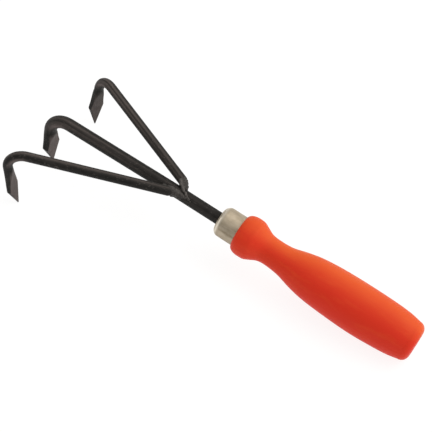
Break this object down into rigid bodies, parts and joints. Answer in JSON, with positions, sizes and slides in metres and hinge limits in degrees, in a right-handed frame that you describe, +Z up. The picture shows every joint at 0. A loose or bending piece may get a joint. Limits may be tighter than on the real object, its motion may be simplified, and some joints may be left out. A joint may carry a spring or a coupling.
{
  "type": "three-tine hand cultivator",
  "caption": "Hand cultivator with a round steel main rod and two welded side tines bent down into pointed blades, a plated ferrule and a swelled moulded grip.",
  "frame": {"origin": "on the ground below the middle of the tool, which lies on its three points and the swell of its grip", "axes": "+X from the tines towards the butt of the grip, +Y towards the right tine seen from behind the grip with the points down, +Z up, away from the points"},
  "size_m": [0.264, 0.0974, 0.0461],
  "materials": {
    "grip_plastic": "smooth moulded orange-red plastic with a soft sheen",
    "plated_steel": "dull zinc-plated drawn sheet, faintly streaked along its length",
    "black_steel": "thin black lacquer over drawn rod, semi-gloss, slightly brown in places",
    "weld_steel": "lacquered weld metal, rougher and a little lighter than the rods"
  },
  "bodies": {
    "root": {"grip": "grip_plastic", "ferrule": "plated_steel", "main_rod": "black_steel", "left_tine": "black_steel", "right_tine": "black_steel", "left_weld": "weld_steel", "right_weld": "weld_steel"}
  },
  "joints": []
}
